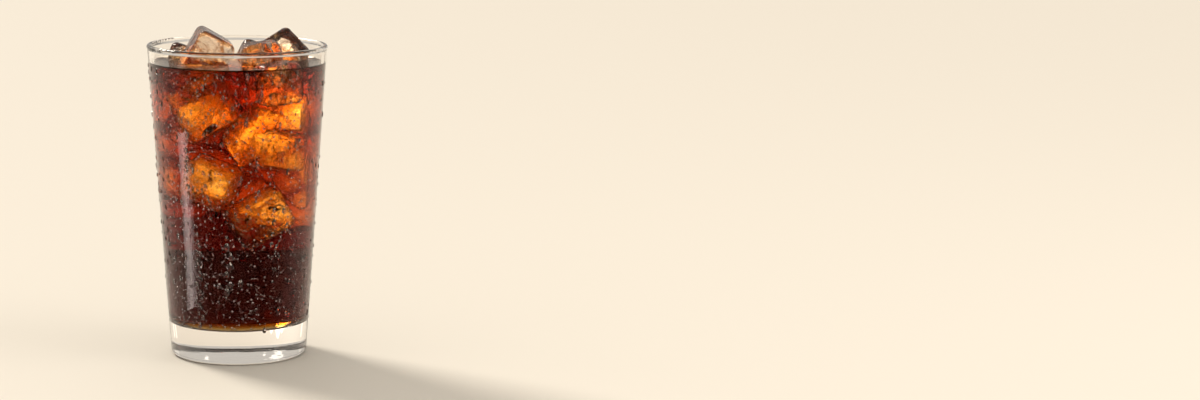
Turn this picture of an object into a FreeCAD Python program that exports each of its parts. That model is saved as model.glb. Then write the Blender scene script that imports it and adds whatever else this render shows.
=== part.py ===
"""Cold brew coffee over ice in a tall tapered tumbler.

The glass is one turned piece: a thick clear floor with a shallow hollow under it, a rounded heel, a wall that
widens and thins towards the top, and a fire-polished lip that is a little thicker than the wall. The coffee
fills it to a short way under the lip. Ice cubes break the coffee's surface, each a solid of its own, and the
coffee is cut round them. The cubes that float deeper are not modelled here: they are looks inside the coffee.

Units are millimetres and degrees. +Z is up, the origin is the middle of the face that the glass stands on, and
-Y is the front. Each piece is written to parts/NAME.step.
"""

import FreeCAD
import Part

import math
import os
from collections import namedtuple

# The glass, outside.
HEIGHT = 148.0  # foot to the top of the lip
RIM_RADIUS = 42.15  # the wall's outer face, carried up to the lip's top
FOOT_RADIUS = 31.95  # the wall's outer face, carried down to the foot
HEEL_ROUNDING = 2.6  # between the wall and the foot
HOLLOW_RADIUS = 26.0  # the hollow in the underside
HOLLOW_DEPTH = 1.3

# The glass, inside.
WALL_AT_RIM = 1.7
WALL_AT_FLOOR = 2.6
FLOOR_THICKNESS = 15.5
FLOOR_ROUNDING = 5.0  # between the floor and the wall
LIP_BEAD = 1.15  # radius of the rounded lip
LIP_EASING = 1.6  # radius of the curve between the wall and the lip

# The drink.
HEADSPACE = 8.0  # coffee's surface to the top of the lip

# The ice cubes that break the surface. Their sides, roundings and places are shares of the bore's radius at the
# coffee's surface, because the cubes are packed against each other and the wall. The place is the cube's middle:
# right of the axis, behind it and above the surface. The turns are degrees about X, then Y, then Z.
Cube = namedtuple("Cube", "name sides rounding place turns")
CUBES = (
    Cube("ice_left_peak", (0.48, 0.56, 0.68), 0.085, (-0.39, -0.02, 0.01), (4, 29, 8)),
    Cube("ice_right_peak", (0.50, 0.46, 0.50), 0.085, (0.54, 0.34, 0.01), (-55, 38, -37)),
    Cube("ice_middle", (0.50, 0.37, 0.53), 0.13, (0.285, -0.235, -0.005), (8, -6, 6)),
    Cube("ice_front_right", (0.54, 0.33, 0.50), 0.10, (0.455, -0.625, -0.19), (4, -4, 36)),
    Cube("ice_back_left", (0.29, 0.27, 0.36), 0.085, (-0.675, 0.42, -0.02), (10, 20, 44)),
    Cube("ice_back_middle", (0.33, 0.30, 0.36), 0.085, (0.17, 0.74, -0.03), (30, 20, 15)),
)

OUTER_SLOPE = (RIM_RADIUS - FOOT_RADIUS) / HEIGHT
BORE_AT_RIM = RIM_RADIUS - WALL_AT_RIM
BORE_AT_FLOOR = FOOT_RADIUS + OUTER_SLOPE * FLOOR_THICKNESS - WALL_AT_FLOOR
SURFACE = HEIGHT - HEADSPACE
LIP_Z = HEIGHT - LIP_BEAD
X_AXIS, Y_AXIS, Z_AXIS = FreeCAD.Vector(1, 0, 0), FreeCAD.Vector(0, 1, 0), FreeCAD.Vector(0, 0, 1)
ORIGIN = FreeCAD.Vector(0, 0, 0)


def outer_radius(z):
    """Radius of the wall's outer face at height z."""
    return FOOT_RADIUS + OUTER_SLOPE * z


def bore_radius(z):
    """Radius of the wall's inner face at height z."""
    share = (z - FLOOR_THICKNESS) / (HEIGHT - FLOOR_THICKNESS)
    return BORE_AT_FLOOR + share * (BORE_AT_RIM - BORE_AT_FLOOR)


def filleted(solid, rounding, z):
    """A turned solid with its round edges at height z rounded."""
    at_z = [e for e in solid.Edges if abs(e.BoundBox.ZMin - z) < 1e-6 and abs(e.BoundBox.ZMax - z) < 1e-6]
    return solid.makeFillet(rounding, at_z)


def lip_curves():
    """The lip's section, from the wall's outer face over the top to its inner face: a bead, and on either side an
    arc that is tangent to the bead and to the wall."""
    bead_middle = FreeCAD.Vector((outer_radius(LIP_Z) + bore_radius(LIP_Z)) / 2, 0, LIP_Z)
    easings = []
    for radius_at, side in ((outer_radius, 1), (bore_radius, -1)):
        down = FreeCAD.Vector(radius_at(0) - radius_at(1), 0, -1).normalize()
        out = FreeCAD.Vector(-down.z, 0, down.x) * side
        face_depth = side * (radius_at(LIP_Z) - bead_middle.x) * abs(down.z)
        across = face_depth + LIP_EASING
        along = math.sqrt((LIP_BEAD + LIP_EASING) ** 2 - across**2)
        arc_middle = bead_middle + down * along + out * across
        on_wall = arc_middle - out * LIP_EASING
        on_bead = bead_middle + (arc_middle - bead_middle).normalize() * LIP_BEAD
        halfway = (on_wall + on_bead - arc_middle * 2).normalize() * LIP_EASING + arc_middle
        easings.append((on_wall, halfway, on_bead))
    outside, inside = easings
    top = bead_middle + Z_AXIS * LIP_BEAD
    return [Part.Arc(*outside), Part.Arc(outside[2], top, inside[2]), Part.Arc(*reversed(inside))]


def make_glass():
    lip = [curve.toShape() for curve in lip_curves()]
    corners = (
        lip[-1].Vertexes[1].Point,
        FreeCAD.Vector(BORE_AT_FLOOR, 0, FLOOR_THICKNESS),
        FreeCAD.Vector(0, 0, FLOOR_THICKNESS),
        ORIGIN,
        FreeCAD.Vector(FOOT_RADIUS, 0, 0),
        lip[0].Vertexes[0].Point,
    )
    straight = [Part.makeLine(start, end) for start, end in zip(corners, corners[1:])]
    turned = Part.Face(Part.Wire(lip + straight)).revolve(ORIGIN, Z_AXIS, 360)
    rounded = filleted(filleted(turned, HEEL_ROUNDING, 0), FLOOR_ROUNDING, FLOOR_THICKNESS)
    ball_radius = (HOLLOW_RADIUS**2 + HOLLOW_DEPTH**2) / (2 * HOLLOW_DEPTH)
    hollow = Part.makeSphere(ball_radius, FreeCAD.Vector(0, 0, HOLLOW_DEPTH - ball_radius))
    return rounded.cut(hollow)


def make_cube(cube):
    """One ice cube: a block with rounded edges, turned and set in its place."""
    unit = bore_radius(SURFACE)
    a, b, c = (side * unit for side in cube.sides)
    block = Part.makeBox(a, b, c, FreeCAD.Vector(-a / 2, -b / 2, -c / 2))
    block = block.makeFillet(cube.rounding * unit, block.Edges)
    for axis, degrees in zip((X_AXIS, Y_AXIS, Z_AXIS), cube.turns):
        block.rotate(ORIGIN, axis, degrees)
    right, behind, above = (share * unit for share in cube.place)
    block.translate(FreeCAD.Vector(right, behind, SURFACE + above))
    return block


def make_coffee(cubes):
    """All that the bore holds below the surface, less the cubes."""
    depth = SURFACE - FLOOR_THICKNESS
    filling = Part.makeCone(BORE_AT_FLOOR, bore_radius(SURFACE), depth, FreeCAD.Vector(0, 0, FLOOR_THICKNESS))
    return filleted(filling, FLOOR_ROUNDING, FLOOR_THICKNESS).cut(cubes)


def main():
    os.makedirs("parts", exist_ok=True)
    pieces = {cube.name: make_cube(cube) for cube in CUBES}
    pieces["coffee"] = make_coffee(list(pieces.values()))
    pieces["glass"] = make_glass()
    for name, shape in pieces.items():
        solids = shape.Solids
        assert shape.isValid() and len(solids) == 1, f"{name} is not one valid solid"
        print(f"{name}: {solids[0].Volume / 1000:.1f} cm3")
        solids[0].exportStep(os.path.join("parts", name + ".step"))


main()
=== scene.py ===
"""Looks for a cold brew coffee over ice in its tumbler.

The glass keeps its CAD shape and gets a clear glass material. The coffee is replaced by a liquid that reaches a
little into the glass's wall, rises at the wall and at the ice, and has a hollow for every ice cube. The cubes that
break the surface are replaced by melted-looking ones of the same size and place, and more cubes float below them.
Condensation beads, drops and runs sit on the outside of the glass. Small soft lights close behind the glass make
the ice glow, as a sunlit wall does.

Clear things that touch are made to overlap by a hair, so that light goes straight from one into the other with no
film of air between them.

Everything is in metres, in the frame's axes: +Z is up, the glass's axis is X = Y = 0, and -Y is the front.
"""

import math
import random

import bmesh
import bpy
import numpy as np
from mathutils import Euler, Matrix, Vector, noise
from mathutils.bvhtree import BVHTree


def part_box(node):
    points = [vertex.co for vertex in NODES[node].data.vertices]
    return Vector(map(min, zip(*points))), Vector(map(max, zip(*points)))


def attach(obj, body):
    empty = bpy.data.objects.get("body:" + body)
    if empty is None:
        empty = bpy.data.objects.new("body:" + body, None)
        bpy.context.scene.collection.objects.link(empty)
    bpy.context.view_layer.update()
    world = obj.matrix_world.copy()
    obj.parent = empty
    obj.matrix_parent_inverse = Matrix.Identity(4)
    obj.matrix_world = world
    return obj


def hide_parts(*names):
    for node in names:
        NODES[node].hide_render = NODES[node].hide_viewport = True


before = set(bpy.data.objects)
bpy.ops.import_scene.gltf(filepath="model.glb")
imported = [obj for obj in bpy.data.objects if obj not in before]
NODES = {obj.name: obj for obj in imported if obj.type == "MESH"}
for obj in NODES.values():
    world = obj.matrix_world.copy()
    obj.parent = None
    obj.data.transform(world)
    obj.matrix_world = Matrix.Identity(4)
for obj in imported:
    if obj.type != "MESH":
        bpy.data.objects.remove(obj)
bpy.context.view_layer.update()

MM = 0.001
TOP_ICE = sorted(name for name in NODES if name.startswith("ice_"))
GLASS_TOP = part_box("glass")[1].z
COFFEE_FLOOR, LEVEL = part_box("coffee")[0].z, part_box("coffee")[1].z
WALL_CLIMB, ICE_CLIMB = 1.3 * MM, 0.9 * MM  # how far the coffee rises at the glass and at the ice
STILL_LEVEL = LEVEL - WALL_CLIMB

# Where clear things meet.
OVERLAP = 0.15 * MM  # coffee into glass, and ice into coffee
BEAD_DIP = 0.04 * MM  # water into glass

GLASS_TREE = BVHTree.FromObject(NODES["glass"], bpy.context.evaluated_depsgraph_get())


def bore_radius(z):
    """Inner radius of the glass at height z."""
    return GLASS_TREE.ray_cast(Vector((0, 0, z)), Vector((1, 0, 0)))[0].x


def wall_at(azimuth, z):
    """A point on the outside of the glass's wall, and the outward normal there."""
    out = Vector((math.cos(azimuth), math.sin(azimuth), 0))
    hit, normal, _, _ = GLASS_TREE.ray_cast(out * 0.2 + Vector((0, 0, z)), -out)
    return hit, normal


# ---------------------------------------------------------------- materials

CLEAR = (1, 1, 1, 1)
GLASS_TINT = (0.955, 0.93, 0.905, 1)
GLASS_IOR, WATER_IOR, ICE_IOR = 1.5, 1.33, 1.31
NO_MIRROR = (0, 0, 0, 1)  # for faces that lie in coffee: the two indices are near, so they mirror next to nothing
FAINT_MIRROR = (0.12, 0.12, 0.12, 1)
COFFEE_COLOUR, COFFEE_DENSITY = (0.926, 0.828, 0.593), 860.0
STAIN_COLOUR, STAIN_DENSITY = (0.86, 0.6, 0.3), 42.0  # what coffee has soaked into the ice above it
VEIN_COLOUR = (0.3, 0.12, 0.045, 1)


def principled(name, **sockets):
    """A material with one Principled shader, and the shader's node."""
    material = bpy.data.materials.new(name)
    material.use_nodes = True
    shader = material.node_tree.nodes["Principled BSDF"]
    for socket, value in sockets.items():
        shader.inputs[socket.replace("_", " ")].default_value = value
    return material, shader


def noise_ramp(material, scale, low, high, detail=3.0, start=0.35, end=0.65, warp=0.0, tall=1.0):
    """A 3-D noise turned into a number: low where the noise is under start, high where it is over end. warp twists it
    into streaks, and tall draws it out along Z."""
    nodes, links = material.node_tree.nodes, material.node_tree.links
    place = nodes.new("ShaderNodeTexCoord")
    pattern = nodes.new("ShaderNodeTexNoise")
    pattern.inputs["Scale"].default_value = scale
    pattern.inputs["Detail"].default_value = detail
    pattern.inputs["Distortion"].default_value = warp
    remap = nodes.new("ShaderNodeMapRange")
    for socket, value in (("From Min", start), ("From Max", end), ("To Min", low), ("To Max", high)):
        remap.inputs[socket].default_value = value
    squash = nodes.new("ShaderNodeMapping")
    squash.inputs["Scale"].default_value = (1, 1, 1 / tall)
    links.new(place.outputs["Object"], squash.inputs["Vector"])
    links.new(squash.outputs["Vector"], pattern.inputs["Vector"])
    links.new(pattern.outputs["Fac"], remap.inputs["Value"])
    return remap.outputs["Result"]


def add_absorption(material, colour, density):
    """Makes what is under a clear surface take light away: density times (1 - colour), for each metre."""
    nodes, links = material.node_tree.nodes, material.node_tree.links
    absorb = nodes.new("ShaderNodeVolumeAbsorption")
    absorb.inputs["Color"].default_value = (*colour, 1)
    absorb.inputs["Density"].default_value = density
    links.new(absorb.outputs["Volume"], nodes["Material Output"].inputs["Volume"])


def bump(material, shader, height, strength, distance):
    """Gives a shader a bump from a height socket. distance is in metres."""
    nodes, links = material.node_tree.nodes, material.node_tree.links
    node = nodes.new("ShaderNodeBump")
    node.inputs["Strength"].default_value = strength
    node.inputs["Distance"].default_value = distance
    links.new(height, node.inputs["Height"])
    links.new(node.outputs["Normal"], shader.inputs["Normal"])


def make_glass_material():
    """The glass outside, with the faint upright waves of a pressed wall."""
    material, shader = principled("clear_glass", Base_Color=GLASS_TINT, Roughness=0.0, IOR=GLASS_IOR,
                                  Transmission_Weight=1.0, Specular_Tint=FAINT_MIRROR)
    bump(material, shader, noise_ramp(material, 110, 0, 1, detail=1.0, tall=9.0), 0.35, 0.25 * MM)
    return material


def make_wet_glass_material():
    """The glass's inner face."""
    material, _ = principled("clear_glass_inside", Base_Color=GLASS_TINT, Roughness=0.0, IOR=GLASS_IOR,
                             Transmission_Weight=1.0, Specular_Tint=NO_MIRROR)
    return material


def make_coffee_material():
    """Clear liquid that is amber where it is thin and nearly black where it is deep."""
    material, _ = principled("coffee", Base_Color=CLEAR, Roughness=0.0, IOR=WATER_IOR, Transmission_Weight=1.0,
                             Specular_Tint=NO_MIRROR)
    add_absorption(material, COFFEE_COLOUR, COFFEE_DENSITY)
    return material


def make_ice_material(name, mirror, clouding, stained=False):
    """Clear wet ice. mirror is how much of its sheen it keeps: none where coffee covers it. clouding is how white
    its cloudiest streaks are. Stained ice is brownish and has brown veins."""
    material, shader = principled(name, Base_Color=CLEAR, IOR=ICE_IOR, Transmission_Weight=1.0,
                                  Specular_Tint=(mirror, mirror, mirror, 1))
    links = material.node_tree.links
    links.new(noise_ramp(material, 90, 0.0, 0.1), shader.inputs["Roughness"])
    if clouding:
        streaks = noise_ramp(material, 150, 1.0, 1.0 - clouding, detail=5.0, start=0.48, end=0.68, warp=2.5)
        links.new(streaks, shader.inputs["Transmission Weight"])
    bump(material, shader, noise_ramp(material, 220, 0, 1, detail=4.0), 0.6, 0.5 * MM)
    if stained:
        add_absorption(material, STAIN_COLOUR, STAIN_DENSITY)
        veins = noise_ramp(material, 75, 0, 1, start=0.46, end=0.64, warp=3.0)
        mix = material.node_tree.nodes.new("ShaderNodeMix")
        mix.data_type = "RGBA"
        mix.inputs["A"].default_value = CLEAR
        mix.inputs["B"].default_value = VEIN_COLOUR
        links.new(veins, mix.inputs["Factor"])
        links.new(mix.outputs["Result"], shader.inputs["Base Color"])
    return material


def make_air_material():
    """A pocket of air in ice: its surface bends light the other way."""
    material, _ = principled("trapped_air", Base_Color=CLEAR, Roughness=0.05, IOR=1 / ICE_IOR,
                             Transmission_Weight=1.0)
    return material


def make_water_material(name, milk):
    """Water. milk is how much of it shows white, as a crowd of beads too small to model does."""
    material, _ = principled(name, Base_Color=(1.0, 0.95, 0.93, 1), Roughness=0.0, IOR=WATER_IOR,
                             Transmission_Weight=1.0 - milk)
    return material


# ---------------------------------------------------------------- meshes


def new_piece(name, verts, faces, material, smooth_below=None):
    """A mesh object. Edges sharper than smooth_below degrees stay sharp."""
    mesh = bpy.data.meshes.new(name)
    mesh.from_pydata([tuple(v) for v in verts], [], [tuple(f) for f in faces])
    mesh.validate()
    mesh.shade_smooth()
    if smooth_below is not None:
        mesh.set_sharp_from_angle(angle=math.radians(smooth_below))
    mesh.materials.append(material)
    obj = bpy.data.objects.new(name, mesh)
    bpy.context.scene.collection.objects.link(obj)
    return obj


def on_root(obj, slot, *replaced):
    """Puts a piece on the part's only body and hides the parts that it replaces. slot is not used."""
    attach(obj, "root")
    if replaced:
        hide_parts(*replaced)


def applied(obj):
    """The object's mesh with its modifiers applied, as arrays of vertices and faces."""
    evaluated = obj.evaluated_get(bpy.context.evaluated_depsgraph_get())
    mesh = bpy.data.meshes.new_from_object(evaluated)
    verts = np.array([v.co[:] for v in mesh.vertices])
    faces = [tuple(p.vertices) for p in mesh.polygons]
    bpy.data.meshes.remove(mesh)
    return verts, faces


def joined(parts):
    """One list of vertices and faces from several."""
    verts, faces, count = [], [], 0
    for v, f in parts:
        verts.append(np.asarray(v))
        faces += [tuple(i + count for i in face) for face in f]
        count += len(v)
    return np.concatenate(verts), faces


def vertex_normals(verts, faces):
    """The outward normal at each vertex of a closed mesh."""
    mesh = bpy.data.meshes.new("scratch")
    mesh.from_pydata([tuple(v) for v in verts], [], faces)
    normals = np.array([n.vector[:] for n in mesh.vertex_normals])
    bpy.data.meshes.remove(mesh)
    return normals


def dress_glass(outside, inside):
    """Gives the CAD glass its two materials: one for its inner face below the lip, and one for the rest."""
    mesh = NODES["glass"].data
    mesh.materials.clear()
    mesh.materials.append(outside)
    mesh.materials.append(inside)
    for face in mesh.polygons:
        radial = face.normal.x * face.center.x + face.normal.y * face.center.y
        covered = COFFEE_FLOOR - 0.1 * MM < face.center.z < GLASS_TOP - 3 * MM
        face.material_index = int(covered and (radial < 0 or face.normal.z > 0.9))


# ---------------------------------------------------------------- ice

ICE_CELL = 1.0 * MM
MELT_DEPTH, MELT_SIZE = 0.6 * MM, 7 * MM  # broad hollows that melting leaves
RIPPLE_DEPTH, RIPPLE_SIZE = 0.18 * MM, 3.2 * MM
ICE_GAP = 0.8 * MM  # distance between the front cubes, or from them to the wall, under which check_room speaks up

# The sunk cubes that show at the front: middle and sides in mm, and turns about X, then Y, then Z.
FRONT_ICE = (
    ((-14.0, -21.5, 121.0), (26, 13.5, 26), (0, -30, -29)),
    ((-11.5, -20.0, 86.0), (22, 18, 20), (14, 22, -26)),
    ((17.0, -17.0, 100.0), (22, 17, 18), (-8, 12, 38)),
    ((9.0, -20.5, 69.5), (26, 17, 20), (10, -28, 18)),
)

# The sunk cubes behind them. Each starts as a turned block and loses whatever comes too near to another, to the
# wall or to the cubes above.
PACK_CELL = 1.7 * MM
PACK_GAP, PACK_WALL_GAP = 0.5 * MM, 0.6 * MM
PACK_SIDES = (24, 30)
PACK_SPACING = 17 * MM
PACK_BOTTOM, PACK_BOTTOM_SLOPE, PACK_BOTTOM_JITTER = 64 * MM, -0.35, 5 * MM  # lower at the right
PACK_TOP = STILL_LEVEL - 1.6 * MM
PACK_HALF_WIDTH = 28 * MM  # so that the coffee is dark at either side
PACK_FRONT = -11 * MM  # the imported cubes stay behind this, but for where fills_front says
PACK_TILT = 0.3  # most lean of a cube's lower face
PACK_LEAST = 9 * MM  # side of the smallest block kept
WALL_PLANES = 14
# Their middles are drawn from a cylinder.
PACK_TRIES = 6000
SEED_REACH, SEED_HEIGHTS = 31 * MM, (60 * MM, 133 * MM)
SEED_CLEARANCE = 5.5 * MM  # from a middle to another cube's face


def rounded_block(sides, rounding):
    """Vertices and faces of a block with rounded edges, about the origin."""
    half = Vector(sides) / 2
    bm = bmesh.new()
    bmesh.ops.create_cube(bm, size=2.0)
    bmesh.ops.subdivide_edges(bm, edges=bm.edges, cuts=round(max(sides) / ICE_CELL), use_grid_fill=True)
    for vert in bm.verts:
        place = Vector(c * h for c, h in zip(vert.co, half))
        core = Vector(max(-(h - rounding), min(h - rounding, p)) for p, h in zip(place, half))
        away = place - core
        vert.co = core + away.normalized() * rounding if away.length > 1e-9 else place
    verts = np.array([v.co[:] for v in bm.verts])
    faces = [tuple(v.index for v in f.verts) for f in bm.faces]
    bm.free()
    return verts, faces


def melted(verts, faces, seed, depth=1.0):
    """Moves a closed mesh inwards by a soft noise, as melting does."""
    normals = vertex_normals(verts, faces)
    shift = Vector((seed * 1.7, seed * 0.9, -seed * 1.3))
    moved = np.empty_like(verts)
    for i, (vert, normal) in enumerate(zip(verts, normals)):
        p = Vector(vert)
        melt = 0.5 + 0.5 * noise.noise(p / MELT_SIZE + shift)
        ripple = 0.5 + 0.5 * noise.noise(p / RIPPLE_SIZE + shift)
        moved[i] = vert - normal * (melt * MELT_DEPTH + ripple * RIPPLE_DEPTH) * depth
    return moved, faces


def remeshed(mesh, cell, smoothing):
    """A closed mesh's shape as an even mesh with softened edges."""
    copy = bpy.data.objects.new("copy", mesh)
    bpy.context.scene.collection.objects.link(copy)
    remesh = copy.modifiers.new("even", "REMESH")
    remesh.mode = "VOXEL"
    remesh.voxel_size = cell
    smooth = copy.modifiers.new("smooth", "SMOOTH")
    smooth.iterations = smoothing
    result = applied(copy)
    bpy.data.objects.remove(copy)
    return result


def turned(turns):
    """The matrix of turns in degrees about X, then Y, then Z."""
    return np.array(Euler([math.radians(a) for a in turns]).to_matrix())


def front_cube(middle, sides, turns, seed):
    """A whole sunk cube from its row in FRONT_ICE."""
    sides = [s * MM for s in sides]
    verts, faces = melted(*rounded_block(sides, 0.15 * min(sides)), seed)
    return verts @ turned(turns).T + np.array(middle) * MM, faces


def check_room(cubes):
    """Says which of the front cubes come too near the wall or another cube. It looks at every ninth vertex, so the
    distances are rough, and it doesn't tell a small overlap from a small gap."""
    trees = [BVHTree.FromPolygons(v.tolist(), f) for v, f in cubes]
    for i, (verts, _) in enumerate(cubes):
        room = min(bore_radius(z) - math.hypot(x, y) for x, y, z in verts[::9] if z < GLASS_TOP - 4 * MM)
        if room < ICE_GAP:
            print("cube", i, "is", round(room / MM, 2), "mm from the wall")
        for j, tree in enumerate(trees):
            if j > i:
                gap = min((tree.find_nearest(Vector(v), 12 * MM)[3] or 1.0) for v in verts[::9])
                if gap < ICE_GAP:
                    print("cubes", i, "and", j, "are", round(gap / MM, 2), "mm apart")


def fills_front(place):
    """Whether packed cubes may come up to the front here: only high up at the right."""
    return place.x > 6 * MM and place.z > 108 * MM


def leaves_dark(place):
    """Whether the coffee stays free of ice here: near the wall at either side, and wider low down at the left."""
    left_edge = (-17 if place.z < 112 * MM else -20) * MM
    return place.y < 9 * MM and (place.x > 24 * MM or place.x < left_edge)


def packed_cubes(fixed):
    """Blocks that fill the room behind the front cubes."""
    chance = random.Random(7)
    trees = [BVHTree.FromPolygons(v.tolist(), f) for v, f in fixed]
    seeds = []
    for _ in range(PACK_TRIES):
        radius = SEED_REACH * math.sqrt(chance.random())
        around = chance.uniform(0, math.tau)
        seed = Vector((radius * math.cos(around), radius * math.sin(around), chance.uniform(*SEED_HEIGHTS)))
        nearest = [tree.find_nearest(seed) for tree in trees]
        inside = any((seed - near).dot(normal) < 0 for near, normal, _, _ in nearest)
        if inside or min(distance for _, _, _, distance in nearest) < SEED_CLEARANCE:
            continue
        free = seed.y > PACK_FRONT + 4 * MM or fills_front(seed)
        if free and not leaves_dark(seed) and all((seed - other).length > PACK_SPACING for other in seeds):
            seeds.append(seed)
    cubes = []
    for k, seed in enumerate(seeds):
        planes = cutting_planes(seed, seeds, trees, chance)
        sides = [chance.uniform(*PACK_SIDES) * MM for _ in range(3)]
        block = clipped_block(seed, sides, [chance.uniform(0, 90) for _ in range(3)], planes)
        if block:
            cubes.append(melted(*block, 50 + k))
    print("front cubes and packed cubes:", len(fixed), len(cubes))
    return cubes


def cutting_planes(seed, seeds, trees, chance):
    """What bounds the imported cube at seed: planes, each a point and a normal that points to what is lost."""
    planes = [((seed + other) / 2, (other - seed).normalized()) for other in seeds if other is not seed]
    planes = [(p - n * PACK_GAP / 2, n) for p, n in planes]
    for tree in trees:
        near = tree.find_nearest(seed)[0]
        away = (near - seed).normalized()
        planes.append((near - away * PACK_GAP, away))
    bore = bore_radius(seed.z - 8 * MM)  # the narrower bore under the seed
    for i in range(WALL_PLANES):
        out = Vector((math.cos(math.tau * i / WALL_PLANES), math.sin(math.tau * i / WALL_PLANES), 0))
        planes.append((out * (bore * math.cos(math.pi / WALL_PLANES) - PACK_WALL_GAP), out))
    if not fills_front(seed):
        planes.append((Vector((0, PACK_FRONT, 0)), Vector((0, -1, 0))))
    bottom = PACK_BOTTOM + PACK_BOTTOM_SLOPE * seed.x + chance.uniform(-1, 1) * PACK_BOTTOM_JITTER
    down = Vector((chance.uniform(-PACK_TILT, PACK_TILT), chance.uniform(-PACK_TILT, PACK_TILT), -1)).normalized()
    planes.append((Vector((seed.x, seed.y, bottom)), down))
    planes += [(Vector((side * PACK_HALF_WIDTH, 0, 0)), Vector((side, 0, 0))) for side in (-1, 1)]
    planes.append((Vector((0, 0, PACK_TOP)), Vector((0, 0, 1))))
    return planes


def clipped_block(middle, sides, turns, planes):
    """A turned block, cut by planes that are each a point and a normal that points to what is lost."""
    bm = bmesh.new()
    bmesh.ops.create_cube(bm, size=1.0)
    spread = Matrix.Translation(middle) @ Matrix(turned(turns).tolist()).to_4x4() @ Matrix.Diagonal((*sides, 1))
    bmesh.ops.transform(bm, matrix=spread, verts=bm.verts)
    for point, normal in planes:
        bmesh.ops.bisect_plane(bm, geom=bm.verts[:] + bm.edges[:] + bm.faces[:], plane_co=point, plane_no=normal,
                               clear_outer=True)
        edge = [e for e in bm.edges if e.is_boundary]
        if edge:
            bmesh.ops.holes_fill(bm, edges=edge, sides=0)
        if not bm.faces:
            bm.free()
            return None
    bmesh.ops.recalc_face_normals(bm, faces=bm.faces)
    volume = bm.calc_volume()
    mesh = bpy.data.meshes.new("block")
    bm.to_mesh(mesh)
    bm.free()
    if volume < PACK_LEAST**3:
        return None
    return remeshed(mesh, PACK_CELL, 3)


CRACKS_EACH, BUBBLES_EACH = 3, 20
CRACK_RADII, BUBBLE_RADII = (2.0, 5.5), (0.12, 0.42)  # in mm
CRACK_THICKNESS = 0.16 * MM
CRACK_AROUND, CRACK_RINGS = 20, 6
FLAW_ROOM = 0.6 * MM  # from a crack or a bubble to the cube's face
FLAW_TRIES, CRACK_TRIES = 400, 200  # a cube's first tries are for cracks


def crack(radius, seed):
    """A thin wavy lens about the origin: an upper sheet and a lower one, which share their rim."""
    sheets = []
    for side in (1, -1):
        verts = [(0, 0, side * CRACK_THICKNESS / 2)]
        for k in range(1, CRACK_RINGS + 1 if side > 0 else CRACK_RINGS):
            share = k / CRACK_RINGS
            for i in range(CRACK_AROUND):
                angle = math.tau * i / CRACK_AROUND
                reach = radius * share * (0.75 + 0.35 * noise.noise(Vector((math.cos(angle), math.sin(angle), seed))))
                x, y = reach * math.cos(angle), reach * math.sin(angle)
                wave = radius * 0.28 * noise.noise(Vector((x, y, 0)) / (radius * 0.7) + Vector((0, 0, seed)))
                verts.append((x, y, wave + side * CRACK_THICKNESS / 2 * math.sqrt(1 - share**2)))
        sheets.append(verts)
    upper, lower = sheets

    def vertex(side, k, i):
        first = 0 if side > 0 or k == CRACK_RINGS else len(upper)
        return first if k == 0 else first + 1 + (k - 1) * CRACK_AROUND + i % CRACK_AROUND

    faces = []
    for side in (1, -1):
        for k in range(CRACK_RINGS):
            for i in range(CRACK_AROUND):
                corners = [vertex(side, k, i), vertex(side, k + 1, i), vertex(side, k + 1, i + 1),
                           vertex(side, k, i + 1)]
                faces.append(tuple(dict.fromkeys(corners if side > 0 else corners[::-1])))
    return np.array(upper + lower), faces


def bubble(radius):
    """A small ball about the origin."""
    bm = bmesh.new()
    bmesh.ops.create_icosphere(bm, subdivisions=1, radius=radius)
    verts = np.array([v.co[:] for v in bm.verts])
    faces = [tuple(v.index for v in f.verts) for f in bm.faces]
    bm.free()
    return verts, faces


def flaws(cubes, seed):
    """Cracks and bubbles inside the cubes."""
    chance = random.Random(seed)
    parts = []
    for verts, faces in cubes:
        tree = BVHTree.FromPolygons(verts.tolist(), faces)
        low, high = verts.min(axis=0), verts.max(axis=0)
        made = {"crack": 0, "bubble": 0}
        for attempt in range(FLAW_TRIES):
            kind = "crack" if made["crack"] < CRACKS_EACH and attempt < CRACK_TRIES else "bubble"
            if made["bubble"] >= BUBBLES_EACH:
                break
            if kind == "crack":
                shape = crack(chance.uniform(*CRACK_RADII) * MM, chance.uniform(0, 50))
            else:
                shape = bubble(chance.uniform(*BUBBLE_RADII) * MM)
            turn = turned([chance.uniform(0, 360) for _ in range(3)])
            middle = np.array([chance.uniform(a, b) for a, b in zip(low, high)])
            points = shape[0] @ turn.T + middle
            for point in points[::5]:
                near, normal, _, distance = tree.find_nearest(Vector(point))
                if distance < FLAW_ROOM or (Vector(point) - near).dot(normal) > 0:
                    break
            else:
                made[kind] += 1
                parts.append((points, shape[1]))
    return joined(parts)


# ---------------------------------------------------------------- coffee

AROUND = 192
CLIMB_REACH = 1.3 * MM  # how far from what it wets the raised edge falls to a third
# The rings of the coffee's mesh: shares of the floor's radius, then heights above the floor, then distances from
# the wall along the surface. Heights and distances are in mm, and each row ends in even steps.
FLOOR_RINGS = (0.35, 0.7, 0.93)
FOOT_HEIGHTS, UPPER_RINGS = (0.02, 0.15, 0.5, 1.0, 1.7, 2.6, 3.7, 5.0), 20
EDGE_STEPS, STEP, STEPS = (0.0, 0.2, 0.45, 0.75, 1.1, 1.5, 2.0, 2.6), 0.75, 48


def climb_at_ice(point, trees):
    """How far the surface rises at a point, for the cubes near it."""
    rise = 0.0
    for tree in trees:
        near, normal, _, distance = tree.find_nearest(point, 6 * MM)
        if near is not None:
            inside = (point - near).dot(normal) < 0
            rise = max(rise, ICE_CLIMB * (1 if inside else math.exp(-distance / CLIMB_REACH)))
    return rise


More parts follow.
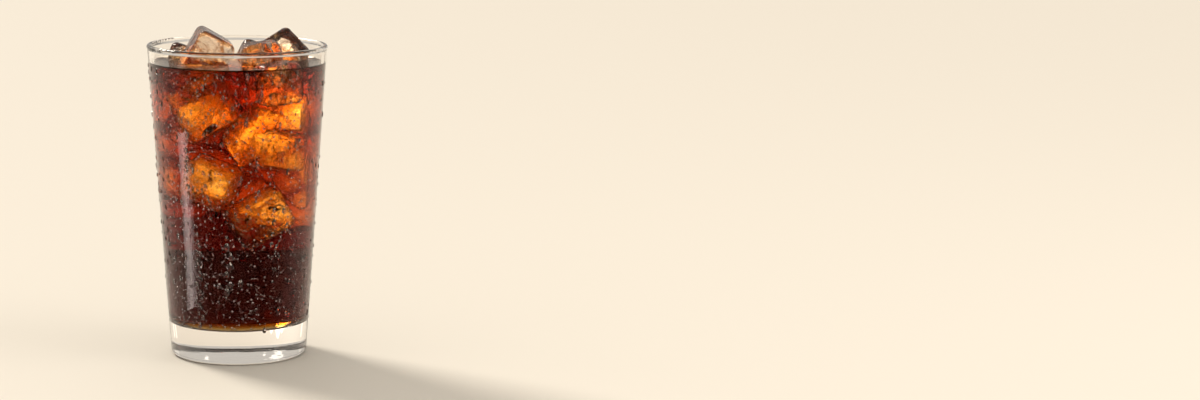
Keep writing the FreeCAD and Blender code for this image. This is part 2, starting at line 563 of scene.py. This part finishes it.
def coffee_body(top_cubes):
    """The coffee before the ice is cut out of it: a turned body with a surface that rises where it is wetted."""
    trees = [BVHTree.FromPolygons(v.tolist(), f) for v, f in top_cubes]
    depth = STILL_LEVEL - COFFEE_FLOOR
    foot = FOOT_HEIGHTS[-1] * MM
    heights = [h * MM for h in FOOT_HEIGHTS]
    heights += [foot + (depth - foot) * i / UPPER_RINGS for i in range(1, UPPER_RINGS)]
    floor_radius = bore_radius(COFFEE_FLOOR + heights[0])
    rings = [(share * floor_radius, COFFEE_FLOOR - OVERLAP) for share in FLOOR_RINGS]
    rings += [(bore_radius(COFFEE_FLOOR + h) + OVERLAP, COFFEE_FLOOR + h) for h in heights]
    edge = bore_radius(STILL_LEVEL) + OVERLAP
    surface_from = len(rings)
    steps = [*EDGE_STEPS, *(EDGE_STEPS[-1] + STEP * i for i in range(1, STEPS + 1))]
    rings += [(edge - step * MM, STILL_LEVEL) for step in steps]
    verts = [(0, 0, COFFEE_FLOOR - OVERLAP)]
    for k, (radius, z) in enumerate(rings):
        for i in range(AROUND):
            angle = math.tau * i / AROUND
            x, y = radius * math.cos(angle), radius * math.sin(angle)
            rise = 0.0
            if k >= surface_from:
                at_wall = WALL_CLIMB * math.exp(-(edge - radius) / CLIMB_REACH)
                rise = max(at_wall, climb_at_ice(Vector((x, y, z + 0.3 * MM)), trees))
            verts.append((x, y, z + rise))
    faces = [(0, 1 + (i + 1) % AROUND, 1 + i) for i in range(AROUND)]
    for k in range(len(rings) - 1):
        a, b = 1 + k * AROUND, 1 + (k + 1) * AROUND
        faces += [(a + i, a + (i + 1) % AROUND, b + (i + 1) % AROUND, b + i) for i in range(AROUND)]
    last = 1 + (len(rings) - 1) * AROUND
    verts.append((0, 0, STILL_LEVEL))
    centre = len(verts) - 1
    faces += [(last + i, last + (i + 1) % AROUND, centre) for i in range(AROUND)]
    return verts, faces


def hollow(cube):
    """What a cube leaves in the coffee: its own shape, smaller by the overlap."""
    verts, faces = cube
    return verts - vertex_normals(verts, faces) * OVERLAP, faces


def make_coffee(top_cubes, sunk, material):
    """The coffee with a hollow for each cube."""
    body = new_piece("coffee_body", *coffee_body(top_cubes), material)
    cutter = new_piece("hollows", *joined([hollow(cube) for cube in top_cubes]), material)
    cut = body.modifiers.new("hollows", "BOOLEAN")
    cut.operation = "DIFFERENCE"
    cut.solver = "MANIFOLD"
    cut.object = cutter
    parts = [applied(body)]
    for obj in (body, cutter):
        bpy.data.objects.remove(obj)
    for cube in sunk:
        verts, faces = hollow(cube)
        parts.append((verts, [face[::-1] for face in faces]))
    return new_piece("coffee_liquid", *joined(parts), material, smooth_below=50)


# ---------------------------------------------------------------- condensation

BEADS = 4600
BEAD_RADII = (0.2 * MM, 0.6 * MM)
DROPS = 420
DROP_RADII = (0.65 * MM, 1.3 * MM)
# Drops that have run together in lines: azimuth in degrees, top and bottom in mm, how many, and their radii in mm.
RUNS = ((238, 62, 19, 15, (0.8, 1.5)), (262, 57, 36, 6, (0.9, 1.6)), (233, 119, 82, 12, (0.7, 1.3)),
        (296, 74, 40, 7, (0.7, 1.2)), (205, 96, 50, 9, (0.8, 1.3)), (60, 110, 60, 9, (0.8, 1.4)))
CELL = 2.6 * MM  # of the grid that keeps beads apart, which is laid on a wall unrolled at its mean radius
MEAN_RADIUS = 37 * MM
PATCH_HEIGHT, PATCHES = 0.03, 2.2  # of the noise that crowds them
ROOM, TRIES_EACH = 1.08, 30  # least distance between beads, for each unit of their radii, and tries for each bead
MISTY_SIDE = math.radians(212)  # where beads crowd most
WET_FROM, WET_TO = COFFEE_FLOOR + 1 * MM, LEVEL - 1 * MM


def dome(segments, rings):
    """A closed unit dome: base in the XY plane, crown at Z = 1. The last rows are the base."""
    verts = [(0.0, 0.0, 1.0)]
    for k in range(1, rings + 1):
        tilt = math.pi / 2 * k / rings
        for i in range(segments):
            turn = math.tau * i / segments
            verts.append((math.sin(tilt) * math.cos(turn), math.sin(tilt) * math.sin(turn), math.cos(tilt)))
    faces = [(0, 1 + i, 1 + (i + 1) % segments) for i in range(segments)]
    for k in range(rings - 1):
        a, b = 1 + k * segments, 1 + (k + 1) * segments
        faces += [(a + i, b + i, b + (i + 1) % segments, a + (i + 1) % segments) for i in range(segments)]
    rim = 1 + (rings - 1) * segments
    faces.append(tuple(rim + i for i in reversed(range(segments))))
    return np.array(verts), faces


def bead_at(azimuth, z, radius, shape, stretch=1.0, sag=0.0, crown=0.3):
    """One bead on the wall. stretch lengthens it, sag fattens its lower end, and crown is its height."""
    verts, faces = shape
    foot, normal = wall_at(azimuth, z)
    side = Vector((-math.sin(azimuth), math.cos(azimuth), 0))
    up = normal.cross(side)
    if up.z < 0:
        up = -up
    across, along, out = verts[:, 0], verts[:, 1], verts[:, 2]
    fat = 1 - sag * along
    placed = (
        np.outer(across * fat, side) * radius
        + np.outer(along, up) * radius * stretch
        + np.outer(out * crown * fat * radius - BEAD_DIP, normal)
    )
    return placed + np.array(foot), faces


def scatter(count, radii, seed, power, taken):
    """Places for beads: azimuth, height and radius, none on another, denser where a patchy noise says. The higher
    the power, the fewer of them are large. taken holds the beads that are already there, by cell of the grid."""
    chance = random.Random(seed)
    spots = []
    tries = 0
    while len(spots) < count and tries < count * TRIES_EACH:
        tries += 1
        azimuth = chance.uniform(0, math.tau)
        z = WET_FROM + (WET_TO - WET_FROM) * chance.random()
        arc = azimuth * MEAN_RADIUS
        patch = 0.5 + 0.5 * noise.noise(Vector((math.cos(azimuth), math.sin(azimuth), z / PATCH_HEIGHT)) * PATCHES)
        misty = max(math.cos(azimuth - MISTY_SIDE), 0) ** 3
        if chance.random() > 0.2 + 0.45 * patch + 0.35 * misty:
            continue
        radius = radii[0] + (radii[1] - radii[0]) * chance.random() ** power
        home = (int(arc / CELL), int(z / CELL))
        near = [s for dx in (-1, 0, 1) for dz in (-1, 0, 1) for s in taken.get((home[0] + dx, home[1] + dz), ())]
        if any(math.hypot(arc - a, z - b) < (radius + r) * ROOM for a, b, r in near):
            continue
        taken.setdefault(home, []).append((arc, z, radius))
        spots.append((azimuth, z, radius))
    return spots


def runs(chance, taken):
    """Places for the drops of the runs."""
    spots = []
    for azimuth, top, bottom, count, radii in RUNS:
        for i in range(count):
            z = (top + (bottom - top) * (i + chance.uniform(-0.25, 0.25)) / (count - 1)) * MM
            z = max(z, WET_FROM + 0.5 * MM)
            around = math.radians(azimuth + chance.uniform(-2.2, 2.2))
            radius = chance.uniform(*radii) * MM
            arc = around * MEAN_RADIUS
            taken.setdefault((int(arc / CELL), int(z / CELL)), []).append((arc, z, radius))
            spots.append((around, z, radius))
    return spots


def make_condensation(drop_material, mist_material):
    """The two pieces of water on the glass: drops, with the runs, and fine beads."""
    taken = {}
    drop_shape, bead_shape = dome(12, 4), dome(7, 2)
    chance = random.Random(3)
    drops = [
        bead_at(a, z, r, drop_shape, stretch=chance.uniform(1.0, 1.5), sag=chance.uniform(0.05, 0.3), crown=0.42)
        for a, z, r in runs(chance, taken) + scatter(DROPS, DROP_RADII, 11, 3.0, taken)
    ]
    beads = [bead_at(a, z, r, bead_shape) for a, z, r in scatter(BEADS, BEAD_RADII, 12, 2.2, taken)]
    on_root(new_piece("condensation_drops", *joined(drops), drop_material), "clear_glass")
    on_root(new_piece("condensation_beads", *joined(beads), mist_material), "clear_glass")


# ---------------------------------------------------------------- stage

FLOOR_DROP = -0.1 * MM  # so that the floor and the foot don't share a face
FLOOR_HALF = 6.0
SUN_COLOUR, CARD_COLOUR = (1.0, 0.94, 0.84), (1.0, 0.93, 0.84)

# Small soft lights round the glass, which the camera doesn't see.
# At the left, for the streak on the wall: nested strips, so that it is brightest in its middle. Width, height, power.
SIDE_CARDS = ((0.040, 0.088, 0.0038), (0.029, 0.080, 0.0028), (0.017, 0.066, 0.0019))
SIDE_PLACE, SIDE_AIM = (-0.110, -0.042, 0.044), (-0.0247, -0.0295, 0.068)
# Behind the ice, and a smaller one for the brighter ice at the upper right. Place, size, power, colour.
BACK_CARD = ((0.002, 0.05, 0.088), (0.062, 0.086), 0.0185, CARD_COLOUR)
GLOW_CARD = ((0.014, 0.0465, 0.115), (0.026, 0.032), 0.008, (1.0, 0.95, 0.86))
# Behind the glass's floor: thin upright strips. Place along X, width.
BASE_CARDS = ((-0.0038, 0.0008), (0.0032, 0.0006), (0.0058, 0.0014))
BASE_BEHIND, BASE_MIDDLE, BASE_HEIGHT, BASE_BRIGHTNESS = 0.0385, 0.0095, 0.013, 0.6


def make_stage():
    """A plain pale floor, a pale surround and the lights, with enough bounces for light to get through the drink."""
    material, _ = principled("pale_floor", Base_Color=(0.86, 0.80, 0.71, 1), Roughness=0.7)
    corners = [(x * FLOOR_HALF, y * FLOOR_HALF, FLOOR_DROP) for x, y in ((-1, -1), (1, -1), (1, 1), (-1, 1))]
    new_piece("floor", corners, [(0, 1, 2, 3)], material)
    scene = bpy.context.scene
    world = bpy.data.worlds.new("surround")
    scene.world = world
    world.use_nodes = True
    background = world.node_tree.nodes["Background"]
    background.inputs["Color"].default_value = (1.0, 0.94, 0.85, 1)
    background.inputs["Strength"].default_value = 0.6
    add_sun(azimuth=128, height=38, strength=2.4, width=16)
    for width, height, power in SIDE_CARDS:
        add_light("side_card", SIDE_PLACE, (width, height), power, (1.0, 0.88, 0.82), spread=28, aim=SIDE_AIM)
    for name, card in (("back_card", BACK_CARD), ("glow_card", GLOW_CARD)):
        add_light(name, *card, spread=120, aim=(0, 0, card[0][2]))
    for x, width in BASE_CARDS:
        power = BASE_BRIGHTNESS * width * BASE_HEIGHT * math.pi
        add_light("base_card", (x, BASE_BEHIND, BASE_MIDDLE), (width, BASE_HEIGHT), power, CARD_COLOUR, spread=160,
                  aim=(0, 0, BASE_MIDDLE))
    add_light("fill", (1.1, -0.5, 0.8), (0.7, 0.9), 3, (1.0, 0.96, 0.9))
    scene.view_settings.view_transform = "Standard"
    scene.cycles.max_bounces = 48
    scene.cycles.transmission_bounces = 48
    scene.cycles.glossy_bounces = 12
    scene.cycles.sample_clamp_indirect = 6.0
    scene.cycles.blur_glossy = 0.5


def add_sun(azimuth, height, strength, width):
    """A low sun. azimuth is the side that it shines from, from +X towards +Y, and width is how wide it looks."""
    data = bpy.data.lights.new("sun", "SUN")
    data.energy = strength
    data.angle = math.radians(width)
    data.color = SUN_COLOUR
    light = bpy.data.objects.new("sun", data)
    bpy.context.scene.collection.objects.link(light)
    a, h = math.radians(azimuth), math.radians(height)
    away = Vector((math.cos(a) * math.cos(h), math.sin(a) * math.cos(h), math.sin(h)))
    light.rotation_euler = away.to_track_quat("Z", "Y").to_euler()


def add_light(name, place, size, power, colour, spread=180, aim=(0, 0, 0.074)):
    """A rectangular soft light that faces the point aim and isn't itself seen by the camera."""
    data = bpy.data.lights.new(name, "AREA")
    data.shape = "RECTANGLE"
    data.size, data.size_y = size
    data.energy = power
    data.color = colour
    data.spread = math.radians(spread)
    light = bpy.data.objects.new(name, data)
    light.visible_camera = False
    bpy.context.scene.collection.objects.link(light)
    light.location = place
    light.rotation_euler = (Vector(aim) - light.location).to_track_quat("-Z", "Y").to_euler()


def add_camera():
    """The glass stands left of the middle of a wide frame, seen from a little above its lip."""
    data = bpy.data.cameras.new("camera")
    data.sensor_width = 36.0
    data.lens = 78.95
    data.clip_start, data.clip_end = 0.01, 50.0
    camera = bpy.data.objects.new("camera", data)
    bpy.context.scene.collection.objects.link(camera)
    bpy.context.scene.camera = camera
    camera.location = (0, -1.2466, 0.2788)
    yaw, pitch, roll = (math.radians(a) for a in (7.93, 9.31, 0.964))
    turn = Matrix.Rotation(-yaw, 3, "Z") @ Matrix.Rotation(math.pi / 2 - pitch, 3, "X")
    camera.rotation_euler = (turn @ Matrix.Rotation(roll, 3, "Z")).to_euler()


# ---------------------------------------------------------------- the drink

glass_material = make_glass_material()
coffee_material = make_coffee_material()
ice_material = make_ice_material("ice", mirror=0.8, clouding=0.12, stained=True)
front_ice_material = make_ice_material("front_ice", mirror=0.0, clouding=0.3)
sunk_ice_material = make_ice_material("sunk_ice", mirror=0.0, clouding=0.0)

dress_glass(glass_material, make_wet_glass_material())

top_cubes = [melted(*remeshed(NODES[node].data.copy(), ICE_CELL, 1), i, 0.5) for i, node in enumerate(TOP_ICE)]
front = [front_cube(*row, seed=20 + i) for i, row in enumerate(FRONT_ICE)]
check_room(top_cubes + front)
packed = packed_cubes(top_cubes + front)
sunk = front + packed
coffee = make_coffee(top_cubes, sunk, coffee_material)
on_root(coffee, "coffee", "coffee")
for node, cube in zip(TOP_ICE, top_cubes):
    on_root(new_piece("melting_" + node, *cube, ice_material), "ice", node)
on_root(new_piece("sunk_ice_front", *joined(front), front_ice_material), "ice")
on_root(new_piece("sunk_ice_behind", *joined(packed), sunk_ice_material), "ice")
on_root(new_piece("ice_flaws", *flaws(top_cubes + front, 5), make_air_material()), "ice")
make_condensation(make_water_material("drops", 0.0), make_water_material("mist", 0.09))

make_stage()
add_camera()
